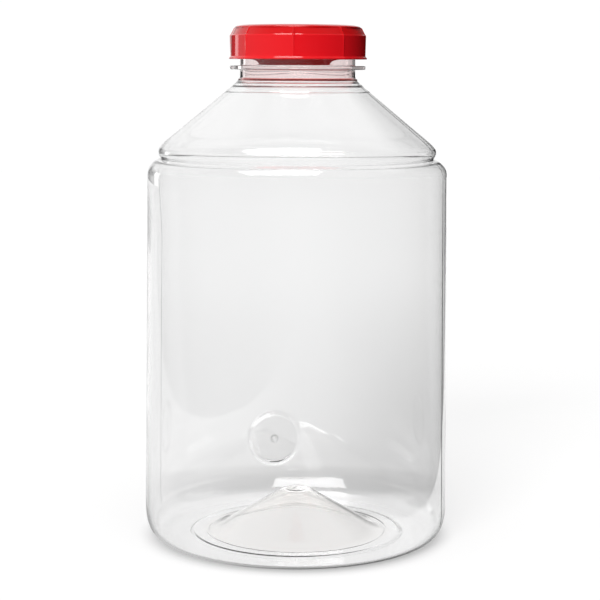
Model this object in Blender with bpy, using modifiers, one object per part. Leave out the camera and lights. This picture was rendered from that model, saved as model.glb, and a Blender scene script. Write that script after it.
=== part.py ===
# Clear plastic carboy: a wide-mouthed bottle, its red screw lid and the seal ring inside the lid.
# Metres, +Z up. The origin is the middle of the base, on the surface that the carboy stands on.

import math

import bmesh
import bpy

# Overall sizes
total_height = 0.508
fit_gap = 0.0003
overrun = 0.002

# Neck
neck_radius = 0.0565
neck_wall = 0.0028
lip_round = 0.0006
flange_drop = 0.0062
flange_width = 0.0099
flange_thickness = 0.0038
flange_round = 0.0008
under_flange = 0.0058
collar_height = 0.0107
collar_width = 0.0083

# Lid, from its threaded inner skirt out and from its top down
lid_height = 0.033
inner_skirt = 0.0021
inner_skirt_lift = 0.0022
channel_width = 0.0026
channel_cover = 0.0045
lid_skirt = 0.0021
lid_plate = 0.002
lid_recess = 0.001
lid_recess_border = 0.0042
lid_edge_width = 0.0034
lid_edge_drop = 0.0008
lid_chamfer_width = 0.0042
lid_chamfer_height = 0.0077
lid_rim_stand = 0.0016
lid_rim_height = 0.0025
lid_rim_round = 0.0009
lid_facets = 8
lid_facet_drop = 0.0010
lid_facet_turn = math.radians(-3.5)
lid_steps_per_facet = 8

# Seal ring between the lid and the mouth
seal_thickness = 0.002
seal_width = 0.0068

# Screw thread: round ribs on the neck and in the lid, on the same right-hand helix
thread_lead = 0.012
thread_starts = 2
rib_radius = 0.0013
rib_stand = 0.0022
thread_clearance = 0.0007
bearing_clearance = 0.00035
neck_rib_drop = 0.0174
neck_rib_turn = math.radians(290)
lid_rib_delay = math.radians(20)
lid_rib_turn = math.radians(200)
rib_step = math.radians(10)

# Body and heel
body_foot_radius = 0.1512
body_taper = 0.0044
body_wall = 0.0018
heel_height = 0.033
heel_width = 0.0214
heel_power = 2.5

# Shoulder, with the groove and the ledge under it
shoulder_slope = math.radians(39.5)
shoulder_inset = 0.0102
shoulder_round = 0.0115
shoulder_wall = 0.0034
groove_depth = 0.0028
groove_height = 0.0052
ledge_height = 0.0125

# Base, with the cone pushed up into its middle
foot_width = 0.0223
ring_rise = 0.0015
ring_width = 0.0184
punt_height = 0.0433
punt_flare_width = 0.0176
punt_flare_start_share = 0.4
punt_round_width = 0.0055
punt_top_radius = 0.010
base_wall = 0.0024

# Blank port pad, low on the back wall
pad_radius = 0.0268
pad_height = 0.065
pad_turn = math.radians(9.8)
pad_wall = 0.0036
pad_nub_radius = 0.0027
pad_nub_height = 0.0008

# Round counts, and how far a sharp corner may draw the inner surface away
bottle_steps = 48
seal_steps = 64
least_corner_share = 0.85

# Radii that follow from the sizes above
flange_radius = neck_radius + flange_width
collar_radius = neck_radius + collar_width
neck_bore = neck_radius - neck_wall
rib_crest = neck_radius + rib_stand
neck_rib_path = rib_crest - rib_radius
lid_bore = rib_crest + thread_clearance
lid_rib_path = neck_radius + thread_clearance + rib_radius
inner_skirt_radius = lid_bore + inner_skirt
lid_wall_radius = inner_skirt_radius + channel_width + lid_skirt
lid_rim_radius = lid_wall_radius + lid_rim_stand
lid_shoulder_radius = lid_wall_radius - lid_chamfer_width
lid_top_radius = lid_shoulder_radius - lid_edge_width
body_top_radius = body_foot_radius - body_taper
shoulder_radius = body_top_radius - shoulder_inset
groove_radius = shoulder_radius - groove_depth
foot_radius = body_foot_radius - heel_width
foot_inner_radius = foot_radius - foot_width
ring_radius = foot_inner_radius - ring_rise
punt_radius = ring_radius - ring_width

# Levels that follow from the sizes above
lid_bottom = total_height - lid_height
lid_ceiling = total_height - lid_recess - lid_plate
seal_top = lid_ceiling - fit_gap
seal_bottom = seal_top - seal_thickness
mouth_top = seal_bottom - fit_gap
flange_top = lid_bottom - flange_drop
flange_bottom = flange_top - flange_thickness
neck_bottom = flange_bottom - under_flange
cone_top = neck_bottom - collar_height
cone_end_radius = shoulder_radius - shoulder_round * (1 - math.sin(shoulder_slope))
cone_bottom = cone_top - (cone_end_radius - collar_radius) * math.tan(shoulder_slope)
ledge_top = cone_bottom - shoulder_round * math.cos(shoulder_slope)
groove_level = ledge_top - groove_height
body_top = groove_level - ledge_height
rib_reach = 2 * rib_radius + bearing_clearance
lid_rib_offset = math.sqrt(rib_reach**2 - (lid_rib_path - neck_rib_path) ** 2)


def blend(first, last, share):
    return first + (last - first) * share


def smooth(share):
    return share * share * (3 - 2 * share)


def shares(count):
    return [step / count for step in range(count + 1)]


def body_radius(height):
    """Outside radius of the slightly tapered body wall."""
    return blend(body_foot_radius, body_top_radius, (height - heel_height) / (body_top - heel_height))


def collar():
    """The flare from the neck out to the top of the cone."""
    for share in shares(5):
        radius = blend(neck_radius, collar_radius, smooth(share))
        yield radius, neck_bottom - share * collar_height, blend(neck_wall, shoulder_wall, share)


def shoulder():
    """The round end of the cone, down to the widest ring above the groove."""
    for share in shares(4):
        angle = (math.pi / 2 - shoulder_slope) * (1 - share)
        radius = shoulder_radius - shoulder_round * (1 - math.cos(angle))
        yield radius, ledge_top + shoulder_round * math.sin(angle), shoulder_wall


def ledge():
    """The quarter round from the bottom of the groove out to the body wall."""
    for share in shares(5):
        angle = share * math.pi / 2
        radius = blend(groove_radius, body_top_radius, math.sin(angle))
        yield radius, body_top + ledge_height * math.cos(angle), blend(shoulder_wall, body_wall, share)


def heel():
    """The rounded corner between the wall and the foot, fuller than an ellipse."""
    for share in shares(6):
        angle = share * math.pi / 2
        radius = blend(foot_radius, body_foot_radius, abs(math.cos(angle)) ** (2 / heel_power))
        drop = heel_height * math.sin(angle) ** (2 / heel_power)
        yield radius, heel_height - drop, blend(body_wall, base_wall, share)


def punt():
    """The foot, the raised ring inside it and the bell-shaped cone in the middle of the base."""
    yield foot_inner_radius, 0, base_wall
    yield ring_radius, ring_rise, base_wall
    round_start = punt_top_radius + punt_round_width
    straight = punt_radius - punt_flare_width - round_start
    flare = punt_flare_width * (1 + punt_flare_start_share) / 2
    slope = (punt_height - ring_rise) / (flare + straight + punt_round_width / 2)
    for share in shares(3):
        mean_slope = slope * blend(punt_flare_start_share, 1, share / 2)
        radius = punt_radius - share * punt_flare_width
        yield radius, ring_rise + mean_slope * share * punt_flare_width, base_wall
    for share in shares(2):
        fall = slope * punt_round_width * (1 - share) ** 2 / 2
        yield round_start - share * punt_round_width, punt_height - fall, base_wall
    yield 0, punt_height, base_wall


def inside(outline):
    """The inner surface: each point of the outer one, moved in by its own wall thickness."""
    found = []
    for index, (radius, height, wall) in enumerate(outline):
        normals = []
        for start in (index - 1, index):
            if 0 <= start and start + 1 < len(outline):
                across = outline[start + 1][0] - outline[start][0]
                up = outline[start + 1][1] - outline[start][1]
                normals.append((up / math.hypot(across, up), -across / math.hypot(across, up)))
        mean = [sum(normal[axis] for normal in normals) for axis in (0, 1)]
        length = math.hypot(*mean)
        mean = [part / length for part in mean]
        reach = wall / max(mean[0] * normals[0][0] + mean[1] * normals[0][1], least_corner_share)
        found.append((max(radius + mean[0] * reach, 0), height + mean[1] * reach))
    found[-1] = (0, found[-1][1])
    return found


def bottle_outline():
    walled = [*collar(), *shoulder(), *ledge(), *heel(), *punt()]
    lip = [
        (neck_bore, mouth_top - lip_round),
        (neck_bore + lip_round, mouth_top),
        (neck_radius - lip_round, mouth_top),
        (neck_radius, mouth_top - lip_round),
    ]
    flange = [
        (neck_radius, flange_top),
        (flange_radius - flange_round, flange_top),
        (flange_radius, flange_top - flange_round),
        (flange_radius, flange_bottom + flange_round),
        (flange_radius - flange_round, flange_bottom),
        (neck_radius, flange_bottom),
    ]
    outer = [(radius, height) for radius, height, _ in walled]
    return inside(walled)[::-1] + lip + flange + outer


def lid_outline():
    """The lid's outline above its own bottom edge: a threaded skirt inside a faceted one."""
    ceiling = lid_ceiling - lid_bottom
    shoulder_height = lid_height - lid_edge_drop
    wall_height = shoulder_height - lid_chamfer_height
    panel_radius = lid_top_radius - lid_recess_border
    channel_height = ceiling - channel_cover + lid_plate
    return [
        (0, lid_height - lid_recess),
        (panel_radius - lid_recess, lid_height - lid_recess),
        (panel_radius, lid_height),
        (lid_top_radius, lid_height),
        (lid_shoulder_radius, shoulder_height),
        (lid_wall_radius, wall_height),
        (lid_rim_radius, lid_rim_height),
        (lid_rim_radius, lid_rim_round),
        (lid_rim_radius - lid_rim_round, 0),
        (lid_rim_radius - lid_skirt, 0),
        (lid_wall_radius - lid_skirt, blend(wall_height, channel_height, 1 / 2)),
        (inner_skirt_radius + fit_gap, channel_height),
        (inner_skirt_radius, inner_skirt_lift),
        (lid_bore + fit_gap, inner_skirt_lift),
        (lid_bore, inner_skirt_lift + lid_rim_round),
        (lid_bore, ceiling),
        (0, ceiling),
    ]


def seal_outline():
    outer = lid_bore - fit_gap
    inner = outer - seal_width
    return [(inner, seal_thickness), (outer, seal_thickness), (outer, 0), (inner, 0)]


def material(name, colour, roughness, alpha=1.0, transmission=0.0):
    made = bpy.data.materials.new(name)
    made.use_nodes = True
    surface = made.node_tree.nodes["Principled BSDF"]
    surface.inputs["Base Color"].default_value = (*colour, 1)
    surface.inputs["Roughness"].default_value = roughness
    surface.inputs["Metallic"].default_value = 0
    surface.inputs["Alpha"].default_value = alpha
    surface.inputs["Transmission Weight"].default_value = transmission
    return made


def collection(name):
    made = bpy.data.collections.new(name)
    bpy.context.scene.collection.children.link(made)
    return made


def add(name, mesh, where, finish=None):
    made = bpy.data.objects.new(name, mesh)
    where.objects.link(made)
    if finish:
        made.data.materials.append(finish)
    else:
        made.hide_render = True
        made.display_type = "WIRE"
    return made


def turned(name, outline, steps, where, finish, closed=False):
    """An outline of radius and height, turned about Z with a Screw modifier."""
    mesh = bpy.data.meshes.new(name)
    points = [(radius, 0, height) for radius, height in outline]
    edges = [(index, index + 1) for index in range(len(points) - 1)]
    if closed:
        edges.append((len(points) - 1, 0))
    mesh.from_pydata(points, edges, [])
    made = add(name, mesh, where, finish)
    screw = made.modifiers.new("Turn", "SCREW")
    screw.steps = steps
    screw.render_steps = steps
    screw.use_merge_vertices = True
    screw.merge_threshold = 0.00001
    screw.use_smooth_shade = True
    return made


def applied(made):
    """Replaces the object's mesh by its evaluated one, and removes its modifiers."""
    bpy.context.view_layer.update()
    graph = bpy.context.evaluated_depsgraph_get()
    mesh = bpy.data.meshes.new_from_object(made.evaluated_get(graph))
    made.modifiers.clear()
    made.data = mesh
    return mesh


def facet_lid(mesh):
    """Draws the middle of each facet in, so that gently curved facets meet at soft corners."""
    fade_start = inner_skirt_radius + fit_gap
    fade = lid_shoulder_radius - fade_start
    for vertex in mesh.vertices:
        radius = math.hypot(vertex.co.x, vertex.co.y)
        if radius <= fade_start:
            continue
        turn = math.atan2(vertex.co.y, vertex.co.x) * lid_facets / math.tau
        across = 2 * (turn - math.floor(turn)) - 1
        drop = lid_facet_drop * (1 - across**2) * min((radius - fade_start) / fade, 1)
        vertex.co.x *= 1 - drop / radius
        vertex.co.y *= 1 - drop / radius


def thread_rib(name, radius, height, start, turn, where):
    """One round helical rib, made as a curve and turned into a closed mesh."""
    curve = bpy.data.curves.new(name, "CURVE")
    curve.dimensions = "3D"
    curve.bevel_depth = rib_radius
    curve.bevel_resolution = 1
    curve.use_fill_caps = True
    count = round(turn / rib_step)
    spline = curve.splines.new("POLY")
    spline.points.add(count)
    for point, share in zip(spline.points, shares(count)):
        angle = start + share * turn
        rise = thread_lead * share * turn / math.tau
        point.co = (radius * math.cos(angle), radius * math.sin(angle), height + rise, 1)
    guide = bpy.data.objects.new(name, curve)
    where.objects.link(guide)
    bpy.context.view_layer.update()
    graph = bpy.context.evaluated_depsgraph_get()
    mesh = bpy.data.meshes.new_from_object(guide.evaluated_get(graph))
    bpy.data.objects.remove(guide)
    shape = bmesh.new()
    shape.from_mesh(mesh)
    bmesh.ops.remove_doubles(shape, verts=shape.verts, dist=0.00001)
    bmesh.ops.recalc_face_normals(shape, faces=shape.faces)
    shape.to_mesh(mesh)
    shape.free()
    return add(name, mesh, where)


def disc(name, radius, near, far, where):
    """A round slab across the pad's own direction, from one distance off the axis to another."""
    shape = bmesh.new()
    bmesh.ops.create_cone(
        shape,
        cap_ends=True,
        segments=32,
        radius1=radius,
        radius2=radius,
        depth=far - near,
    )
    mesh = bpy.data.meshes.new(name)
    shape.to_mesh(mesh)
    shape.free()
    made = add(name, mesh, where)
    middle = (near + far) / 2
    made.location = (-middle * math.sin(pad_turn), middle * math.cos(pad_turn), pad_height)
    made.rotation_euler = (-math.pi / 2, 0, pad_turn)
    return made


def body_core(where):
    """The body's tapered outside, drawn in by a gap, which trims what is added behind the wall."""
    height = body_top - heel_height
    shape = bmesh.new()
    bmesh.ops.create_cone(
        shape,
        cap_ends=True,
        segments=bottle_steps,
        radius1=body_foot_radius - fit_gap,
        radius2=body_top_radius - fit_gap,
        depth=height,
    )
    mesh = bpy.data.meshes.new("body_core")
    shape.to_mesh(mesh)
    shape.free()
    made = add("body_core", mesh, where)
    made.location.z = heel_height + height / 2
    return made


def combine(made, other, operation):
    boolean = made.modifiers.new(other.name, "BOOLEAN")
    boolean.operation = operation
    boolean.solver = "EXACT"
    boolean.object = other


def build_bottle(parts, cutters):
    finish = material("clear_plastic", (0.95, 0.97, 0.97), 0.05, alpha=0.35, transmission=0.9)
    bottle = turned("bottle", bottle_outline(), bottle_steps, parts, finish)
    for start in range(thread_starts):
        angle = start * math.tau / thread_starts
        low = mouth_top - neck_rib_drop
        combine(
            bottle,
            thread_rib(f"neck_rib_{start + 1}", neck_rib_path, low, angle, neck_rib_turn, cutters),
            "UNION",
        )
    wall = body_radius(pad_height)
    face = wall - pad_radius**2 / (2 * wall)
    pad = disc("pad", pad_radius + body_wall, face - pad_wall, wall + overrun, cutters)
    combine(pad, body_core(cutters), "INTERSECT")
    combine(bottle, pad, "UNION")
    combine(bottle, disc("pad_cut", pad_radius, face, wall + overrun, cutters), "DIFFERENCE")
    nub_top = face + pad_nub_height
    combine(bottle, disc("pad_nub", pad_nub_radius, face - pad_nub_height, nub_top, cutters), "UNION")
    return bottle


def build_lid(parts, cutters):
    finish = material("red_plastic", (0.80, 0.012, 0.020), 0.28)
    steps = lid_facets * lid_steps_per_facet
    lid = turned("lid", lid_outline(), steps, parts, finish)
    facet_lid(applied(lid))
    lid.location.z = lid_bottom
    lid.rotation_euler.z = lid_facet_turn
    low = mouth_top - neck_rib_drop - lid_rib_offset
    for start in range(thread_starts):
        angle = start * math.tau / thread_starts + lid_rib_delay
        height = low + thread_lead * lid_rib_delay / math.tau
        combine(
            lid,
            thread_rib(f"lid_rib_{start + 1}", lid_rib_path, height, angle, lid_rib_turn, cutters),
            "UNION",
        )
    return lid


def build_seal(parts):
    finish = material("seal_foam", (0.83, 0.82, 0.79), 0.6)
    seal = turned("seal_ring", seal_outline(), seal_steps, parts, finish, closed=True)
    seal.location.z = seal_bottom
    return seal


def main():
    for old in list(bpy.data.objects):
        bpy.data.objects.remove(old)
    parts = collection("carboy")
    cutters = collection("cutters")
    cutters.hide_render = True
    for made in (build_bottle(parts, cutters), build_lid(parts, cutters), build_seal(parts)):
        for polygon in made.data.polygons:
            polygon.use_smooth = True


main()
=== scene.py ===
import math

import bpy
from mathutils import Matrix, Vector


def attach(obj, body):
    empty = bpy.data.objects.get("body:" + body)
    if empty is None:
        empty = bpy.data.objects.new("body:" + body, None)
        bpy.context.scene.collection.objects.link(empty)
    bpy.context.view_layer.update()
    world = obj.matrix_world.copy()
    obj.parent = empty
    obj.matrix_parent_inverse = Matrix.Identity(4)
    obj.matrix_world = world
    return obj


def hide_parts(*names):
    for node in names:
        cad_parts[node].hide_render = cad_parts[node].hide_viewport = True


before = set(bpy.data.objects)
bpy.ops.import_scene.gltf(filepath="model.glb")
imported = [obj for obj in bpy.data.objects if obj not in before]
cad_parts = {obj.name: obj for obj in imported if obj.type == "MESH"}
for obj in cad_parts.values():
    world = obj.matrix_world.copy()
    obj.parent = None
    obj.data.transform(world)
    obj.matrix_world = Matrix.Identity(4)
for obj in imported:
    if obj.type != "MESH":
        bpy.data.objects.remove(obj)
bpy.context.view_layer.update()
print("frame loaded")


class Wire:
    # one socket of a node tree; sums on it add Math nodes
    def __init__(self, tree, socket=None):
        self.tree = tree
        self.socket = socket

    def node(self, kind, settings, sockets, out=0):
        made = self.tree.nodes.new("ShaderNode" + kind)
        for name, value in settings.items():
            if name == "stops":
                setStops(made.color_ramp, value)
            else:
                setattr(made, name, value)
        for key, value in sockets.items():
            if isinstance(value, Wire):
                self.tree.links.new(value.socket, made.inputs[key])
            else:
                made.inputs[key].default_value = value
        return Wire(self.tree, made.outputs[out] if made.outputs else None)

    def other(self, out):
        # another output of the node that this one comes from
        return Wire(self.tree, self.socket.node.outputs[out])

    def sum(self, operation, first, second):
        return self.node("Math", {"operation": operation}, {0: first, 1: second})

    def __add__(self, value):
        return self.sum("ADD", self, value)

    def __radd__(self, value):
        return self.sum("ADD", value, self)

    def __sub__(self, value):
        return self.sum("SUBTRACT", self, value)

    def __rsub__(self, value):
        return self.sum("SUBTRACT", value, self)

    def __mul__(self, value):
        return self.sum("MULTIPLY", self, value)

    def __rmul__(self, value):
        return self.sum("MULTIPLY", value, self)


def setStops(ramp, stops):
    # stops are (place, grey level) pairs in order
    ramp.interpolation = "LINEAR"
    while len(ramp.elements) < len(stops):
        ramp.elements.new(1)
    for element, (place, level) in zip(ramp.elements, stops):
        element.position = place
        element.color = (level, level, level, 1)


def band(value, low, high):
    # 0 below low, 1 above high, smooth between
    sockets = {"Value": value, "From Min": low, "From Max": high}
    return value.node("MapRange", {"interpolation_type": "SMOOTHSTEP"}, sockets)


def window(value, low, high, soft):
    # 1 between low and high, 0 outside
    return band(value, low, low + soft) * (1 - band(value, high - soft, high))


def reached(depth, count):
    # 1 once a ray has as many bounces of a kind as the count
    return band(depth, count - 0.8, count - 0.2)


def mixColour(share, first, second):
    # from the first colour to the second; either may be a socket
    return share.node("Mix", {"data_type": "RGBA"}, {0: share, 6: first, 7: second}, 2)


def newMaterial(name):
    made = bpy.data.materials.new(name)
    made.use_nodes = True
    made.node_tree.nodes.clear()
    return made, Wire(made.node_tree)


def blend(first, last, share):
    return first + (last - first) * share


def smooth(share):
    share = min(max(share, 0), 1)
    return share * share * (3 - 2 * share)


def shares(count):
    return [step / count for step in range(count + 1)]


def arc(centre, radius, first, last, count):
    # points on a circle in the outline's plane, angles in degrees from straight out
    turns = [math.radians(blend(first, last, share)) for share in shares(count)]
    return [(centre[0] + radius * math.cos(t), centre[1] + radius * math.sin(t)) for t in turns]


def straight(first, last, count):
    return [(blend(first[0], last[0], s), blend(first[1], last[1], s)) for s in shares(count)]


def bend(start, radius, first, last, count):
    # points down a bend, as the outside turns from facing up by first degrees to facing up by last
    found = []
    for share in shares(count):
        begin, here = math.radians(first), math.radians(blend(first, last, share))
        across = radius * (math.cos(here) - math.cos(begin))
        found.append((start[0] + across, start[1] - radius * (math.sin(begin) - math.sin(here))))
    return found


def turnedMesh(name, rings, angles, shift=None):
    # rings are (radius, height, side) points of a closed or pole-to-pole outline; shift moves single points
    points, faces = [], []
    rows = []
    for ring in rings:
        radius, height = ring[0], ring[1]
        if radius < 1e-7:
            rows.append([len(points)] * len(angles))
            points.append((0, 0, height))
            continue
        rows.append(range(len(points), len(points) + len(angles)))
        for angle in angles:
            r, z = shift(ring, angle) if shift else (radius, height)
            points.append((r * math.cos(angle), r * math.sin(angle), z))
    for upper, lower in zip(rows, rows[1:]):
        for here in range(len(angles)):
            there = (here + 1) % len(angles)
            corners = [upper[here], lower[here], lower[there], upper[there]]
            face = list(dict.fromkeys(corners))
            if len(face) > 2:
                faces.append(face)
    mesh = bpy.data.meshes.new(name)
    mesh.from_pydata(points, [], faces)
    mesh.validate()
    mesh.shade_smooth()
    made = bpy.data.objects.new(name, mesh)
    bpy.context.scene.collection.objects.link(made)
    return made


bottle = {
    "mouthTop": 0.5024,
    "neckRadius": 0.0565,
    "neckWall": 0.0028,
    "boreLevels": (0.462, 0.47, 0.48, 0.49, 0.4985),
    "lipRound": 0.0006,
    "flangeTop": 0.4688,
    "flangeBottom": 0.4650,
    "flangeRadius": 0.0664,
    "flangeRound": 0.0008,
    "flangeFillet": 0.0006,
    "neckBottom": 0.4592,
    "coneTop": 0.4485,
    "collarRadius": 0.0648,
    "shoulderSlope": 39.5,
    "shoulderWall": 0.0015,
    # radius of each bend in the shoulder, and how far up in degrees its outside faces at both ends
    "shoulderBends": [(0.0424, 50.5, 37), (0.00604, 37, 0)],
    "bendTop": 0.3960,
    "grooveTop": 0.38389,
    "grooveRadius": 0.1338,
    "grooveLevel": 0.37869,
    "ledgeSlope": 65,
    "ledgeRun": 0.0052,
    "ledgeBends": [(0.0125, 65, 49), (0.0225, 49, 36), (0.0135, 36, 1)],
    "rimWall": 0.0010,
    "thinning": 0.042,  # height over which the cone's wall thins to the rim's
    "bodyThinning": 0.08,  # the same for the body's wall upwards, and for the change above shiftLevel
    "bodyTopRadius": 0.1468,
    "bodyFootRadius": 0.1512,
    "bodyWall": 0.0019,
    # the wall is this much thinner at the right and thicker at the left; above the level, thinner at both
    "wallShift": 0.0007,
    "shiftLevel": 0.29,
    "shiftRadius": 0.1,  # full from here out, none in the middle of the base
    "heelHeight": 0.033,
    "heelPower": 2.5,
    "footRadius": 0.1298,
    "footWidth": 0.0223,
    "ringRise": 0.0015,
    "ringWidth": 0.0045,
    "beadHeight": 0.0003,
    "beadWidth": 0.003,
    "puntRadius": 0.0876,
    "puntHeight": 0.0433,
    "puntFlareWidth": 0.0176,
    "puntFlareStart": 0.4,
    "puntRoundWidth": 0.0055,
    "puntTopRadius": 0.010,
    "baseWall": 0.0024,
    "steps": 288,
    # the mould's parting line, on both sides
    "seamAngle": 162.3,
    "seamStand": 0.0003,
    "seamWidth": 0.0009,
    "seamLow": 0.0165,
    # small rings where the neck turns into the cone: level, how far they stand out, half their width
    "collarRings": [(0.4557, 0.0009, 0.0014), (0.4503, 0.0004, 0.0014), (0.4445, 0.0003, 0.0011)],
    "colour": (0.985, 0.985, 0.985, 1),
    # painted reflection of the red lid on the neck, most of all on its lowest bend: from, to, softness and share
    "lidReflectionRed": (0.86, 0.22, 0.20, 1),
    "lidReflectionBands": [(0.4570, 0.4760, 0.0015, 0.13), (0.4541, 0.4573, 0.0010, 0.87)],
    # the middle of the base is a little warmer, out to this far
    "warm": (0.985, 0.974, 0.962, 1),
    "warmRadius": 0.084,
    "warmEnd": 0.1,
    "rippleScale": 14.0,
    "shadow": (0.85, 0.85, 0.85, 1),
}

thread = {
    "lead": 0.012,
    "starts": 2,
    "stand": 0.0022,
    "halfWidth": 0.0018,
    "neckDrop": 0.0174,  # from the mouth down to the lower end of the bottle's ribs
    "neckTurn": 290,
    "lidTurn": 200,
    "lidDelay": 20,
    "lidOffset": 0.002737,
    "lidStand": 0.95,  # of the bottle's ribs
    "fade": 10,  # degrees over which a rib's end runs out
    # a stop low on the front of the neck, in two lobes with a dip between; all angles in degrees
    "stopAngle": -94,
    "stopReach": 52,
    "stopFade": 40,
    "stopStand": 0.0011,
    "stopTop": 0.4768,
    "stopRound": 0.0015,
    "stopDip": 0.3,
    "stopDipReach": 6,
}

pad = {
    "radius": 0.0268,
    "height": 0.065,
    "angle": 99.8,
    "wall": 0.0036,
    "edge": 0.0050,  # width over which the flat face runs out
    "ringWidth": 0.0022,
    "ringHeight": 0.0004,
    "nubRadius": 0.0027,
    "nubHeight": 0.0008,
    "nubEdge": 0.0009,
    "reach": 12.5,  # degrees to both sides in which the columns stand closer
    "columns": 72,
    "levelReach": 1.3,  # in radii, up and down
    # the pad is greyer, and most so in a ring round the nub
    "grey": (0.62, 0.62, 0.62, 1),
    "greyCentre": 0.1463,  # halfway through the pad, off the bottle's axis
    "greyShare": 0.2,
    "greyEdge": 0.003,
    "nubGreyShare": 0.6,
    "nubGreyWidth": 0.0026,
    "nubGreyEdge": 0.0009,
}


def ribHeight(angle, height, low, turn):
    # how far the thread stands out of its skirt at one point
    best = 0
    for start in range(thread["starts"]):
        begin = start * math.tau / thread["starts"]
        past = (angle - begin) % math.tau
        for extra in (0, math.tau):
            along = past + extra
            off = abs(height - low - thread["lead"] * along / math.tau) / thread["halfWidth"]
            end = min(along, turn - along) / math.radians(thread["fade"])
            if off < 1 and end > 0:
                best = max(best, smooth(1 - off) * smooth(end))
    return best * thread["stand"]


def stopHeight(angle, height):
    # how far the stop stands out of the neck at one point; it thickens upwards
    t = thread
    away = abs(math.degrees(math.remainder(angle - math.radians(t["stopAngle"]), math.tau)))
    lobes = smooth((t["stopReach"] - away) / t["stopFade"])
    lobes *= 1 - t["stopDip"] * smooth(1 - away / t["stopDipReach"])
    rise = (height - bottle["flangeTop"]) / (t["stopTop"] - bottle["flangeTop"])
    rise = min(max(rise, 0), 1)
    above = smooth((t["stopTop"] + t["stopRound"] - height) / t["stopRound"])
    return lobes * rise * (2 - rise) * above * t["stopStand"]


def collarRing(height):
    # how far the small rings stand out at one level
    stands = 0
    for level, stand, halfWidth in bottle["collarRings"]:
        stands += smooth(1 - abs(height - level) / halfWidth) * stand
    return stands


def shoulderOutline():
    # the cone, the bulge at its foot, the groove and the ledge, from the top down
    b = bottle
    run = (b["coneTop"] - b["bendTop"]) / math.tan(math.radians(b["shoulderSlope"]))
    top, foot = (b["collarRadius"], b["coneTop"]), (b["collarRadius"] + run, b["bendTop"])
    points = straight(top, foot, 120)
    # fine steps only at the top, where the lowest small ring lies
    points = points[:18] + points[18:-1:9] + points[-1:]
    for radius, first, last in b["shoulderBends"]:
        points += bend(points[-1], radius, first, last, 10)[1:]
    bulge = (points[-1][0], b["grooveTop"])
    inward, down = bulge[0] - b["grooveRadius"], bulge[1] - b["grooveLevel"]
    turn = 2 * math.atan2(inward, down)
    points += bend(bulge, down / math.sin(turn), 0, -math.degrees(turn), 10)
    facing = math.radians(b["ledgeSlope"])
    groove = (b["grooveRadius"], b["grooveLevel"])
    low = (groove[0] + b["ledgeRun"] * math.sin(facing), groove[1] - b["ledgeRun"] * math.cos(facing))
    points += straight(groove, low, 8)[1:]
    for radius, first, last in b["ledgeBends"]:
        points += bend(points[-1], radius, first, last, 10)[1:]
    return points


def bottleWalled():
    # outline points from the neck's foot to the middle of the base, each with its wall thickness
    b = bottle
    # the neck's foot turns smoothly into the cone's slope
    wider = b["collarRadius"] - b["neckRadius"]
    end = (b["neckBottom"] - b["coneTop"]) / math.tan(math.radians(b["shoulderSlope"]))
    for share in shares(32):
        radius = b["neckRadius"] + (3 * wider - end) * share**2 + (end - 2 * wider) * share**3
        height = blend(b["neckBottom"], b["coneTop"], share)
        ring = collarRing(height)
        yield radius + ring, height, blend(b["neckWall"], b["shoulderWall"], share) + ring
    shoulder = shoulderOutline()
    for radius, height in shoulder[1:]:
        share = (height - b["grooveTop"]) / b["thinning"]
        ring = collarRing(height)
        yield radius + ring, height, blend(b["rimWall"], b["shoulderWall"], min(max(share, 0), 1)) + ring
    # the body, with close levels across the pad
    bodyRadius, bodyTop = shoulder[-1]
    padTop = pad["height"] + pad["radius"] + pad["ringWidth"] * 3
    levels = [blend(bodyTop, padTop, share) for share in shares(24)][1:]
    levels += [blend(padTop, b["heelHeight"], share) for share in shares(66)][1:-1]
    for height in levels:
        share = (height - bodyTop) / (b["heelHeight"] - bodyTop)
        wall = blend(b["rimWall"], b["bodyWall"], min((bodyTop - height) / b["bodyThinning"], 1))
        yield blend(bodyRadius, b["bodyFootRadius"], share), height, wall
    # the heel
    for share in shares(28):
        angle = share * math.pi / 2
        radius = blend(b["footRadius"], b["bodyFootRadius"], abs(math.cos(angle)) ** (2 / b["heelPower"]))
        height = b["heelHeight"] * (1 - math.sin(angle) ** (2 / b["heelPower"]))
        yield radius, height, blend(b["bodyWall"], b["baseWall"], share)
    # the ring to stand on, and the low ring inside it
    inner = b["footRadius"] - b["footWidth"]
    for share in (0.5, 1):
        yield blend(b["footRadius"], inner, share), 0, b["baseWall"]
    for share in shares(6)[1:]:
        yield inner - share * b["ringWidth"], b["ringRise"] * smooth(share), b["baseWall"]
    # the cone in the base: a bead round its foot, a flare, a straight slope and a rounded flat top
    flareEnd = b["puntRadius"] - b["puntFlareWidth"]
    roundStart = b["puntTopRadius"] + b["puntRoundWidth"]
    run = flareEnd - roundStart
    flare = b["puntFlareWidth"] * (1 + b["puntFlareStart"]) / 2
    slope = (b["puntHeight"] - b["ringRise"]) / (flare + run + b["puntRoundWidth"] / 2)
    for third in (4, 3, 2, 1, 0):
        bead = b["beadHeight"] * math.sin(math.pi * min(third / 3, 1))
        yield b["puntRadius"] + b["beadWidth"] * third / 3, b["ringRise"] - bead, b["baseWall"]
    for share in shares(10)[1:]:
        rise = slope * blend(b["puntFlareStart"], 1, share / 2) * share * b["puntFlareWidth"]
        yield b["puntRadius"] - share * b["puntFlareWidth"], b["ringRise"] + rise, b["baseWall"]
    flareTop = b["ringRise"] + slope * flare
    for share in shares(8)[1:]:
        yield flareEnd - share * run, flareTop + slope * share * run, b["baseWall"]
    for share in shares(5)[1:]:
        fall = slope * b["puntRoundWidth"] * (1 - share) ** 2 / 2
        yield roundStart - share * b["puntRoundWidth"], b["puntHeight"] - fall, b["baseWall"]
    for share in shares(4)[1:]:
        yield b["puntTopRadius"] * (1 - share), b["puntHeight"], b["baseWall"]


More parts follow.
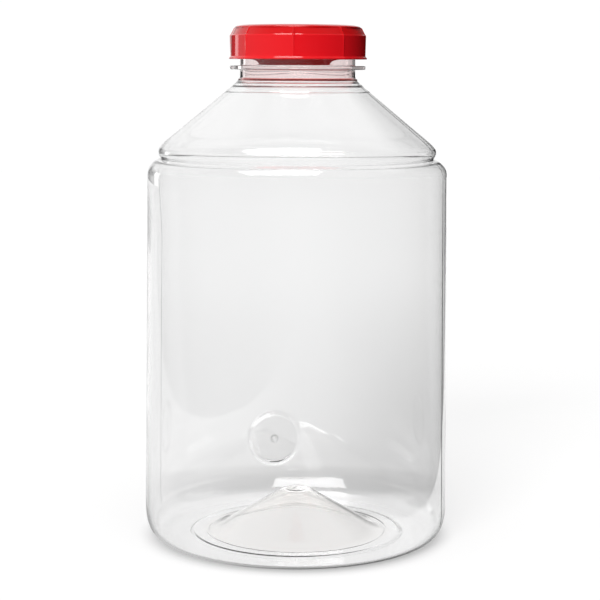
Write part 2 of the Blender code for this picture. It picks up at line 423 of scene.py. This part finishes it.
def innerSurface(outline):
    # each outer point moved in by its own wall thickness
    found = []
    for index, (radius, height, wall) in enumerate(outline):
        before = outline[max(index - 1, 0)]
        after = outline[min(index + 1, len(outline) - 1)]
        across, up = after[0] - before[0], after[1] - before[1]
        length = math.hypot(across, up)
        found.append((max(radius + up / length * wall, 0), height - across / length * wall))
    found[-1] = (0, found[-1][1])
    return found


def flangeOutline():
    b = bottle
    fillet, turn = b["flangeFillet"], b["flangeRound"]
    edge = b["flangeRadius"] - turn
    near, far = b["neckRadius"] + 0.002, edge - 0.001
    return (
        arc((b["neckRadius"] + fillet, b["flangeTop"] + fillet), fillet, 180, 270, 4)
        + straight((near, b["flangeTop"]), (far, b["flangeTop"]), 3)
        + arc((edge, b["flangeTop"] - turn), turn, 90, 0, 6)
        + arc((edge, b["flangeBottom"] + turn), turn, 0, -90, 6)
        + straight((far, b["flangeBottom"]), (near, b["flangeBottom"]), 3)
        + arc((b["neckRadius"] + fillet, b["flangeBottom"] - fillet), fillet, 90, 180, 4)
    )


def sided(points, side):
    # the side tells shift what a ring belongs to
    return [(radius, height, side) for radius, height in points]


def bottleAngles(seams):
    # even steps, closer over the pad and across the parting line
    padAngle, reach = math.radians(pad["angle"]), math.radians(pad["reach"])
    fine = bottle["seamWidth"] / bottle["bodyTopRadius"]
    angles = [step * math.tau / bottle["steps"] for step in range(bottle["steps"])]
    angles = [angle for angle in angles if abs(angle - padAngle) > reach]
    angles += [padAngle + blend(-reach, reach, share) for share in shares(pad["columns"])]
    angles = [angle for angle in angles if all(abs(angle - seam) > fine * 1.5 for seam in seams)]
    angles += [seam + fine * step / 4 for seam in seams for step in range(-5, 6)]
    return sorted(angles)


def makeBottle():
    b = bottle
    walled = list(bottleWalled())
    neck, bore = b["neckRadius"], b["neckRadius"] - b["neckWall"]
    lip, lipLevel = b["lipRound"], b["mouthTop"] - b["lipRound"]
    mouth = [(bore, height) for height in b["boreLevels"]]
    mouth += arc((bore + lip, lipLevel), lip, 180, 90, 4) + arc((neck - lip, lipLevel), lip, 90, 0, 4)
    ribbed = straight((neck, b["mouthTop"] - 0.001), (neck, b["flangeTop"] + 0.001), 92)
    rings = sided(innerSurface(walled)[::-1], "in") + sided(mouth, "plain") + sided(ribbed, "neck")
    rings += sided(flangeOutline(), "plain") + sided([point[:2] for point in walled], "out")
    seams = [math.radians(b["seamAngle"]), math.radians(b["seamAngle"] - 180) % math.tau]
    ribLow = b["mouthTop"] - thread["neckDrop"]
    # the pad's flat face cuts the wall's curve at both sides of the pad
    padAngle, padReach = math.radians(pad["angle"]), math.radians(pad["reach"])
    up = (pad["height"] - b["heelHeight"]) / (b["grooveLevel"] - b["heelHeight"])
    wallAtPad = blend(b["bodyFootRadius"], b["bodyTopRadius"], up)
    face = wallAtPad - pad["radius"] ** 2 / (2 * wallAtPad)

    def shift(ring, angle):
        radius, height, side = ring
        if side == "neck":
            rib = ribHeight(angle, height, ribLow, math.radians(thread["neckTurn"]))
            return radius + max(rib, stopHeight(angle, height)), height
        if side == "in":
            above = smooth((height - b["shiftLevel"]) / b["bodyThinning"])
            lean = blend(math.cos(angle), abs(math.cos(angle)), above)
            radius += b["wallShift"] * lean * smooth(radius / b["shiftRadius"])
        if side not in ("in", "out"):
            return radius, height
        if side == "out" and radius > b["neckRadius"] and height > b["seamLow"]:
            away = min(abs(angle - seam) for seam in seams) * radius
            radius += b["seamStand"] * smooth(1 - away / b["seamWidth"])
        turn = angle - padAngle
        if abs(turn) > padReach or abs(height - pad["height"]) > pad["radius"] * pad["levelReach"]:
            return radius, height
        away = math.hypot(radius * math.sin(turn), height - pad["height"])
        if side == "out":
            inside = smooth((pad["radius"] - away) / pad["edge"] + 0.5)
            nub = smooth((pad["nubRadius"] - away) / pad["nubEdge"] + 0.5) * pad["nubHeight"]
            ring = smooth(1 - abs(away - pad["radius"]) / pad["ringWidth"]) * pad["ringHeight"]
            flat = (face + nub) / math.cos(turn)
            return blend(radius, min(flat, radius), inside) + ring, height
        inside = smooth((pad["radius"] + b["bodyWall"] - away) / pad["edge"] + 0.5)
        flat = (face - pad["wall"]) / math.cos(turn)
        return blend(radius, min(flat, radius), inside), height

    return turnedMesh("clearBottle", rings, bottleAngles(seams), shift)


def clearPlastic():
    made, wire = newMaterial("clearPlastic")
    b = bottle
    place = wire.node("TexCoord", {}, {}, "Object")
    ripple = wire.node("TexNoise", {}, {"Vector": place, "Scale": b["rippleScale"], "Detail": 2.0})
    bump = wire.node("Bump", {}, {"Strength": 0.05, "Distance": 0.002, "Height": ripple})
    high = wire.node("SeparateXYZ", {}, {"Vector": place}, 2)
    # painted reflection of the red lid on the neck, in two bands
    neckReflection, lowReflection = (window(high, low, top, soft) * share for low, top, soft, share in b["lidReflectionBands"])
    colour = mixColour(neckReflection + lowReflection, b["colour"], b["lidReflectionRed"])
    turn = math.radians(pad["angle"])
    middle = (pad["greyCentre"] * math.cos(turn), pad["greyCentre"] * math.sin(turn), pad["height"])
    away = wire.node("VectorMath", {"operation": "DISTANCE"}, {0: place, 1: middle}, "Value")
    padGrey = (1 - band(away, pad["radius"] - pad["greyEdge"], pad["radius"])) * pad["greyShare"]
    nubRing = window(away, pad["nubRadius"], pad["nubRadius"] + pad["nubGreyWidth"], pad["nubGreyEdge"])
    colour = mixColour(padGrey + nubRing * pad["nubGreyShare"], colour, pad["grey"])
    away = wire.node("VectorMath", {"operation": "LENGTH"}, {0: place}, "Value")
    colour = mixColour(1 - band(away, b["warmRadius"], b["warmEnd"]), colour, b["warm"])
    sockets = {"Base Color": colour, "Roughness": 0.01, "IOR": 1.57, "Transmission Weight": 1.0, "Normal": bump}
    surface = wire.node("BsdfPrincipled", {}, sockets)
    # the lamps shine through
    shade = wire.node("BsdfTransparent", {}, {"Color": b["shadow"]})
    lamp = wire.node("LightPath", {}, {}, "Is Shadow Ray")
    mixed = wire.node("MixShader", {}, {0: lamp, 1: surface, 2: shade})
    wire.node("OutputMaterial", {}, {"Surface": mixed})
    return made


lid = {
    "bottom": 0.475,
    "height": 0.033,
    "wallRadius": 0.0662,
    "rimStand": 0.0016,
    "rimHeight": 0.0012,
    "skirt": 0.0021,
    "chamferWidth": 0.0042,
    "chamferHeight": 0.0077,
    "edgeWidth": 0.0060,
    "edgeDrop": 0.0013,
    "edgeRound": 0.0028,
    # widths of the small ledges over and under the chamfer and above the rim, and how steep they are
    "topStep": 0.0013,
    "step": 0.0010,
    "bead": 0.0015,
    "ledgeRise": 1.15,
    # how far each kind of corner is rounded off
    "cornerRound": 0.0006,
    "topStepRound": 0.0005,
    "ledgeRound": 0.0003,
    "recess": 0.001,
    "recessBorder": 0.0022,
    "plate": 0.002,
    "bore": 0.0594,
    "innerSkirt": 0.0021,
    "innerLift": 0.0022,
    "channelCover": 0.0045,
    "facets": 8,
    "facetDrop": 0.0014,
    "facetTurn": -3.5,
    # the low ridge on each crease, which fades out down to this far under the chamfer
    "ridge": 0.0006,
    "ridgeWidth": 0.0014,
    "ridgeLow": 0.003,
    "ridgeFade": 0.002,
    "columnsPerFacet": 48,
    "crowding": 1.6,  # how much closer the columns stand near the creases
    # painted light and shade: the wall is given a brighter red than the chamfer and top, for how light falls on
    # them
    "paintedLightWallColour": (0.80, 0.006, 0.012, 1),
    "paintedShadeTopColour": (0.62, 0.003, 0.005, 1),
    "gloss": 0.035,  # roughness, and how much the grain adds
    "grain": 0.03,
    "grainScale": 420.0,
}


def rounded(points, reach, count):
    # cuts each inner corner of an outline and puts a small curve there; a point may give its own reach
    found = [points[0]]
    for before, here, after in zip(points, points[1:], points[2:]):
        corner, own = Vector(here[:2]), here[2] if len(here) > 2 else reach
        start, end = Vector(before[:2]) - corner, Vector(after[:2]) - corner
        near = min(own, start.length / 2.2, end.length / 2.2)
        start, end = corner + start.normalized() * near, corner + end.normalized() * near
        for share in shares(count):
            first, last = start.lerp(corner, share), corner.lerp(end, share)
            found.append(tuple(first.lerp(last, share)))
    return found + [points[-1]]


def makeLid():
    k = lid
    ceiling = k["height"] - k["recess"] - k["plate"]
    rim = k["wallRadius"] + k["rimStand"]
    shoulder = k["wallRadius"] - k["chamferWidth"]
    shoulderHeight = k["height"] - k["edgeDrop"]
    wallHeight = shoulderHeight - k["chamferHeight"]
    top = shoulder - k["edgeWidth"]
    panel = top - k["recessBorder"]
    innerRadius = k["bore"] + k["innerSkirt"]
    facetStart = innerRadius + 0.0003
    channel = ceiling - k["channelCover"] + k["plate"]
    panelHeight = k["height"] - k["recess"]
    steep, soft, sharp = k["ledgeRise"], k["topStepRound"], k["ledgeRound"]
    corners = [
        (0.03, panelHeight),
        (panel - k["recess"], panelHeight),
        (panel, k["height"]),
        (top, k["height"], k["edgeRound"]),
        (shoulder - k["topStep"], shoulderHeight, soft),
        (shoulder, shoulderHeight - k["topStep"] * steep, soft),
        (k["wallRadius"] - k["step"], wallHeight, sharp),
        (k["wallRadius"], wallHeight - k["step"] * steep, sharp),
        (rim - k["bead"], k["rimHeight"] + k["bead"] * steep, sharp),
        (rim, k["rimHeight"], sharp),
        (rim, 0),
        (rim - k["skirt"], 0),
        (k["wallRadius"] - k["skirt"], blend(wallHeight, channel, 0.5)),
        (facetStart, channel),
        (innerRadius, k["innerLift"]),
        (k["bore"], k["innerLift"]),
    ]
    ribbed = straight((k["bore"], k["innerLift"] + 0.001), (k["bore"], ceiling - 0.0005), 80)
    rings = sided([(0, panelHeight), (0.012, panelHeight)] + rounded(corners, k["cornerRound"], 4), "plain")
    rings += sided(ribbed, "bore") + sided([(k["bore"] - 0.0005, ceiling), (0.03, ceiling), (0, ceiling)], "plain")
    rings = [(radius, k["bottom"] + height, side) for radius, height, side in rings]
    places = [blend(-1, 1, share) for share in shares(k["columnsPerFacet"])][:-1]
    places = [math.copysign(1 - (1 - abs(place)) ** k["crowding"], place) for place in places]
    facetTurn = math.tau / k["facets"]
    angles = [
        (math.radians(k["facetTurn"]) + (facet + (place + 1) / 2) * facetTurn) % math.tau
        for facet in range(k["facets"])
        for place in places
    ]
    angles.sort()
    ribLow = bottle["mouthTop"] - thread["neckDrop"] - thread["lidOffset"]
    delay = math.radians(thread["lidDelay"])
    turn = math.radians(thread["lidTurn"])

    def shift(ring, angle):
        radius, height, side = ring
        if side == "bore":
            low = ribLow + thread["lead"] * delay / math.tau
            rib = ribHeight(angle - delay, height, low, turn)
            return radius - rib * thread["lidStand"], height
        if radius <= facetStart:
            return radius, height
        share = (angle - math.radians(k["facetTurn"])) * k["facets"] / math.tau
        across = 2 * (share - math.floor(share)) - 1
        drop = k["facetDrop"] * (1 - across**2)
        crease = (1 - abs(across)) * facetTurn / 2 * radius
        above = smooth((height - k["bottom"] - wallHeight + k["ridgeLow"]) / k["ridgeFade"])
        ridge = k["ridge"] * smooth(1 - crease / k["ridgeWidth"]) * above
        return radius + ridge - drop * min((radius - facetStart) / (shoulder - facetStart), 1), height

    return turnedMesh("redLid", rings, angles, shift)


def redPlastic():
    made, wire = newMaterial("redPlastic")
    place = wire.node("TexCoord", {}, {}, "Object")
    grain = wire.node("TexNoise", {}, {"Vector": place, "Scale": lid["grainScale"], "Detail": 3.0})
    bump = wire.node("Bump", {}, {"Strength": 0.06, "Distance": 0.0004, "Height": grain})
    high = wire.node("SeparateXYZ", {}, {"Vector": place}, 2)
    wallTop = lid["bottom"] + lid["height"] - lid["edgeDrop"] - lid["chamferHeight"]
    # painted light and shade: a brighter red on the wall, a darker red from the chamfer up
    colour = mixColour(band(high, wallTop - 0.001, wallTop), lid["paintedLightWallColour"], lid["paintedShadeTopColour"])
    sockets = {"Base Color": colour, "Roughness": lid["gloss"] + lid["grain"] * grain, "IOR": 1.5, "Normal": bump}
    surface = wire.node("BsdfPrincipled", {}, sockets)
    wire.node("OutputMaterial", {}, {"Surface": surface})
    return made


seal = {
    "outer": 0.0591,
    "width": 0.0068,
    "bottom": 0.5027,
    "thickness": 0.002,
    "round": 0.0004,
    "steps": 192,
    "colour": (0.83, 0.82, 0.79, 1),
    "cellScale": 1600.0,
}


def makeSeal():
    s = seal
    inner = s["outer"] - s["width"]
    low, top = s["bottom"], s["bottom"] + s["thickness"]
    seam = (inner, (low + top) / 2)
    points = [seam, (inner, top), (s["outer"], top), (s["outer"], low), (inner, low), seam]
    angles = [step * math.tau / s["steps"] for step in range(s["steps"])]
    return turnedMesh("sealRing", sided(rounded(points, s["round"], 3), "plain"), angles)


def sealFoam():
    made, wire = newMaterial("sealFoam")
    place = wire.node("TexCoord", {}, {}, "Object")
    cells = wire.node("TexVoronoi", {}, {"Vector": place, "Scale": seal["cellScale"]})
    bump = wire.node("Bump", {}, {"Strength": 0.3, "Distance": 0.0003, "Height": cells})
    surface = wire.node("BsdfPrincipled", {}, {"Base Color": seal["colour"], "Roughness": 0.7, "Normal": bump})
    wire.node("OutputMaterial", {}, {"Surface": surface})
    return made


def dress(piece, material, body, node):
    piece.data.materials.append(material)
    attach(piece, body)
    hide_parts(node)


clearBottle = makeBottle()
dress(clearBottle, clearPlastic(), "bottle", "bottle")
clearBottle.visible_diffuse = False
print("bottle made", len(clearBottle.data.polygons))
redLid = makeLid()
dress(redLid, redPlastic(), "lid", "lid")
print("lid made", len(redLid.data.polygons))
sealRing = makeSeal()
dress(sealRing, sealFoam(), "seal", "seal_ring")
print("seal made")

studio = {
    "floorRadius": 6.0,
    "floorColour": 0.8,
    "white": 1.02,
    # painted shade on the floor, with radii: round the heel, right under it, and lighter under the base
    "heelShade": 0.085,
    "heelRing": (0.165, 0.31, 0.03),
    "contactShade": 0.42,
    "contactEdge": (0.125, 0.163),
    "underBase": 0.16,
    "underEdge": (0.15, 0.17),
    # light from the floor and the walls on matt surfaces, at the left, and its share at the right
    "bounce": 0.45,
    "plain": 0.25,
    "rightShare": 0.1,
    "floorTurn": (-0.1, 0.35),
    "wallTurn": (-0.2, 0.6),
    "plainOnFloor": 0.6,
}

# the backdrop's level behind the plastic, in metres back from the bottle and degrees to the right
behind = {
    # darker close by: from, to and softness, and where it fades
    "near": (0.13, 2.4, 0.05),
    "nearFade": (0.6, 2.4),
    "nearShade": 0.08,
    "rightFrom": 1.7,  # metres in front of the bottle, where the degrees start
    "right": (0.3, 4.2),
    "rightShade": 0.05,
    "far": 100,  # the walls' distance
}

# what the plastic and the lid mirror: (degrees, level) pairs, round from straight behind, the right positive
mirror = {
    "table": [
        (-180, 0.42), (-130, 0.57), (-60, 0.76), (-38, 1.0), (-33, 1.1), (-15, 1.1),
        (-10, 1), (18, 1), (60, 0.8), (120, 0.8), (180, 0.42),
    ],
    "beyondTable": [
        (-180, 0.42), (-60, 0.6), (-44, 0.68), (-39, 1.1), (-15, 1.1), (-10, 1), (8, 1), (11, 0),
        (23, 0), (27, 0.2), (33, 0.2), (36, 0), (60, 0.05), (143, 0.15), (180, 0.4),
    ],
    "walls": [
        (-180, 0.2), (-130, 0.4), (-60, 0.6), (-51, 0.5), (-49, 2), (-41, 2), (-39, 0.1),
        (-20, 0.1), (-15, 1), (8, 1), (12, 0), (90, 0.02), (180, 0.1),
    ],
    "upperWalls": [
        (-180, 0.15), (-120, 0.5), (-60, 0.78), (-38, 0.8), (-29, 0.95), (-10, 1), (8, 1),
        (16, 0.5), (24, 0.1), (40, 0.05), (90, 0.02), (180, 0.1),
    ],
    # by degrees up over the front
    "ceiling": [
        (0, 0.1), (42, 0.12), (70, 0.3), (99, 0.36), (107, 0.45), (114, 0.65), (130, 0.7), (150, 1), (180, 1),
    ],
    "ceilingRight": 0.2,  # how much darker the ceiling gets to the right
    # how steeply up, as a sine, the upper walls and the ceiling begin
    "upperStart": (0.12, 0.24),
    "ceilingStart": (0.6, 0.78),
    # the table ends this far to the right, and its edge runs out to the right further back
    "tableEdge": 0.30,
    "tableSlope": 0.25,
    "tableSoft": 0.02,
    # light that has been inside the wall finds the right-hand side less dark: from, to and softness in degrees
    "insideLift": 0.35,
    "insideSpan": (7, 70, 8),
}

softbox = {
    "low": 70,  # degrees up over the front
    "high": 93.9,
    "left": -0.43,
    "right": 0.18,
    "level": 6,
    # the front window shows only in the far side's inner face
    "frontLow": 5,
    "frontHigh": 43,
    "frontLeft": -0.63,
    "frontRight": 0.31,
    "frontLevel": 5,
    "sideSoft": 0.03,
    "heightSoft": 1,
}


def byAngle(wire, angle, low, high, levels):
    # a level that follows an angle in degrees through (degrees, level) pairs
    top = max(level for _, level in levels)
    stops = [((degrees - low) / (high - low), level / top) for degrees, level in levels]
    return wire.node("ValToRGB", {"stops": stops}, {"Fac": (angle - low) * (1 / (high - low))}) * top


def around(wire, across, along):
    return wire.node("Math", {"operation": "ARCTAN2"}, {0: across, 1: along}) * (180 / math.pi)


def insideLift(path, turn):
    inside = reached(path.other("Transmission Depth"), 1)
    return inside * window(turn, *mirror["insideSpan"]) * mirror["insideLift"]


def floorMirror(wire, path, place):
    # what a reflection on the object meets on the table and round it
    right = wire.node("SeparateXYZ", {}, {"Vector": place})
    back = right.other(1)
    turn = around(wire, right, back)
    edge = band(right - back * mirror["tableSlope"] - mirror["tableEdge"], 0, mirror["tableSoft"])
    table = byAngle(wire, turn, -180, 180, mirror["table"])
    beyond = byAngle(wire, turn, -180, 180, mirror["beyondTable"])
    return table + (beyond - table) * edge + insideLift(path, turn) * edge


def boxSeen(right, over, low, high, left, farRight):
    # 1 where a reflection meets a light panel: degrees up over the front, and places to the right as a sine
    across = window(right, softbox[left], softbox[farRight], softbox["sideSoft"])
    return across * window(over, softbox[low], softbox[high], softbox["heightSoft"])


def worldMirror(wire, path, towards, farSide):
    # what a reflection on the object meets above the table
    right = wire.node("SeparateXYZ", {}, {"Vector": towards})
    back, up = right.other(1), right.other(2)
    turn = around(wire, right, back)
    over = around(wire, up, 0 - back)
    low = byAngle(wire, turn, -180, 180, mirror["walls"])
    upper = byAngle(wire, turn, -180, 180, mirror["upperWalls"])
    ceiling = byAngle(wire, over, 0, 180, mirror["ceiling"]) * (1 - right * mirror["ceilingRight"])
    level = low + (upper - low) * band(up, *mirror["upperStart"]) + insideLift(path, turn)
    level = level + (ceiling - level) * band(up, *mirror["ceilingStart"])
    above = boxSeen(right, over, "low", "high", "left", "right")
    front = boxSeen(right, over, "frontLow", "frontHigh", "frontLeft", "frontRight")
    return level + above * softbox["level"] + front * farSide * softbox["frontLevel"]


def seenThrough(wire, right, back):
    # painted shade: the backdrop behind the plastic is a little darker close by and to the right
    near = window(back, *behind["near"]) * (1 - band(back, *behind["nearFade"])) * behind["nearShade"]
    side = band(around(wire, right, back + behind["rightFrom"]), *behind["right"])
    return studio["white"] - near - side * (near + behind["rightShade"])


def makeFloor():
    made, wire = newMaterial("paleFloor")
    s = studio
    path = wire.node("LightPath", {}, {}, "Is Camera Ray")
    mirrored = reached(path.other("Glossy Depth"), 1)
    scattered = path.other("Is Diffuse Ray")
    place = wire.node("TexCoord", {}, {}, "Object")
    right = wire.node("SeparateXYZ", {}, {"Vector": place})
    away = wire.node("VectorMath", {"operation": "LENGTH"}, {0: place}, "Value")
    # the table as the camera and light through the plastic see it
    shade = window(away, *s["heelRing"]) * s["heelShade"]
    contact = (1 - band(away, *s["contactEdge"])) * s["contactShade"]
    under = (1 - band(away, *s["underEdge"])) * s["underBase"]
    through = seenThrough(wire, right, right.other(1)) - shade + under - floorLevel()
    matt = wire.node("BsdfDiffuse", {}, {"Color": (s["floorColour"],) * 3 + (1,)})
    glow = path * (s["white"] - floorLevel() - contact) + path.other("Is Transmission Ray") * through
    glow = wire.node("Emission", {}, {"Color": glow})
    lit = wire.node("AddShader", {}, {0: matt, 1: glow})
    # as matt surfaces see it, and as reflections do
    side = 1 - band(right, *s["floorTurn"]) * (1 - s["rightShare"])
    bounce = wire.node("Emission", {}, {"Color": side * s["bounce"]})
    table = wire.node("MixShader", {}, {0: scattered, 1: lit, 2: bounce})
    plain = wire.node("Emission", {}, {"Color": floorMirror(wire, path, place)})
    surface = wire.node("MixShader", {}, {0: mirrored, 1: table, 2: plain})
    wire.node("OutputMaterial", {}, {"Surface": surface})
    rings = sided([(s["floorRadius"], 0), (0.5, 0), (0, 0)], "plain")
    floor = turnedMesh("floor", rings, [step * math.tau / 64 for step in range(64)])
    floor.location.z = -0.0002  # just under the foot
    floor.data.materials.append(made)


def makeWorld():
    world = bpy.data.worlds.new("studio")
    world.use_nodes = True
    world.node_tree.nodes.clear()
    bpy.context.scene.world = world
    wire = Wire(world.node_tree)
    towards = wire.node("TexCoord", {}, {}, "Generated")
    path = wire.node("LightPath", {}, {}, "Is Camera Ray")
    mirrored = reached(path.other("Glossy Depth"), 1)
    through = path.other("Is Transmission Ray") * (1 - mirrored)
    farSide = reached(path.other("Transmission Depth"), 4)
    right = wire.node("SeparateXYZ", {}, {"Vector": towards})
    back = right.other(1)
    side = 1 - band(right, *studio["wallTurn"]) * (1 - studio["rightShare"])
    level = path * studio["white"] + path.other("Is Diffuse Ray") * side * studio["plain"]
    level = level + mirrored * worldMirror(wire, path, towards, farSide)
    level = level + through * seenThrough(wire, right * behind["far"], back * behind["far"])
    glow = wire.node("Background", {}, {"Color": level})
    wire.node("OutputWorld", {}, {"Surface": glow})


lamps = {
    # name: degrees round from the front, degrees up, strength, softness in degrees
    "keyLight": (-20, 22, 2.3, 30),
    "topLight": (-10, 78, 1.2, 60),
    "fillLight": (24, 15, 0.45, 30),
}


def floorLevel():
    # brightness of the open floor under the lamps
    total = studio["plain"] * studio["plainOnFloor"]
    for _, up, strength, _ in lamps.values():
        total += strength * math.sin(math.radians(up)) / math.pi
    return total * studio["floorColour"]


def makeLamps():
    for name, (side, up, strength, softness) in lamps.items():
        data = bpy.data.lights.new(name, "SUN")
        data.energy = strength
        data.angle = math.radians(softness)
        lamp = bpy.data.objects.new(name, data)
        bpy.context.scene.collection.objects.link(lamp)
        a, e = math.radians(side), math.radians(up)
        away = Vector((math.sin(a) * math.cos(e), -math.cos(a) * math.cos(e), math.sin(e)))
        lamp.location = away * 2
        lamp.rotation_euler = away.to_track_quat("Z", "Y").to_euler()
        lamp.visible_camera = False
        lamp.visible_glossy = False
        lamp.visible_transmission = False


camera = {
    "distance": 1.711,
    "side": 0.0034,
    "height": 0.471,
    "pitch": 7.78,
    "roll": 0.275,
    "lens": 103.86,
}


def makeCamera():
    data = bpy.data.cameras.new("photoCamera")
    data.lens = camera["lens"]
    data.sensor_width = 36
    data.clip_start = 0.05
    made = bpy.data.objects.new("photoCamera", data)
    bpy.context.scene.collection.objects.link(made)
    tilt = Matrix.Rotation(math.radians(90 - camera["pitch"]), 4, "X")
    roll = Matrix.Rotation(math.radians(camera["roll"]), 4, "Z")
    place = Matrix.Translation((camera["side"], -camera["distance"], camera["height"]))
    made.matrix_world = place @ tilt @ roll
    bpy.context.scene.camera = made


makeFloor()
makeWorld()
makeLamps()
makeCamera()
bpy.context.scene.view_settings.view_transform = "Standard"
print("studio made")
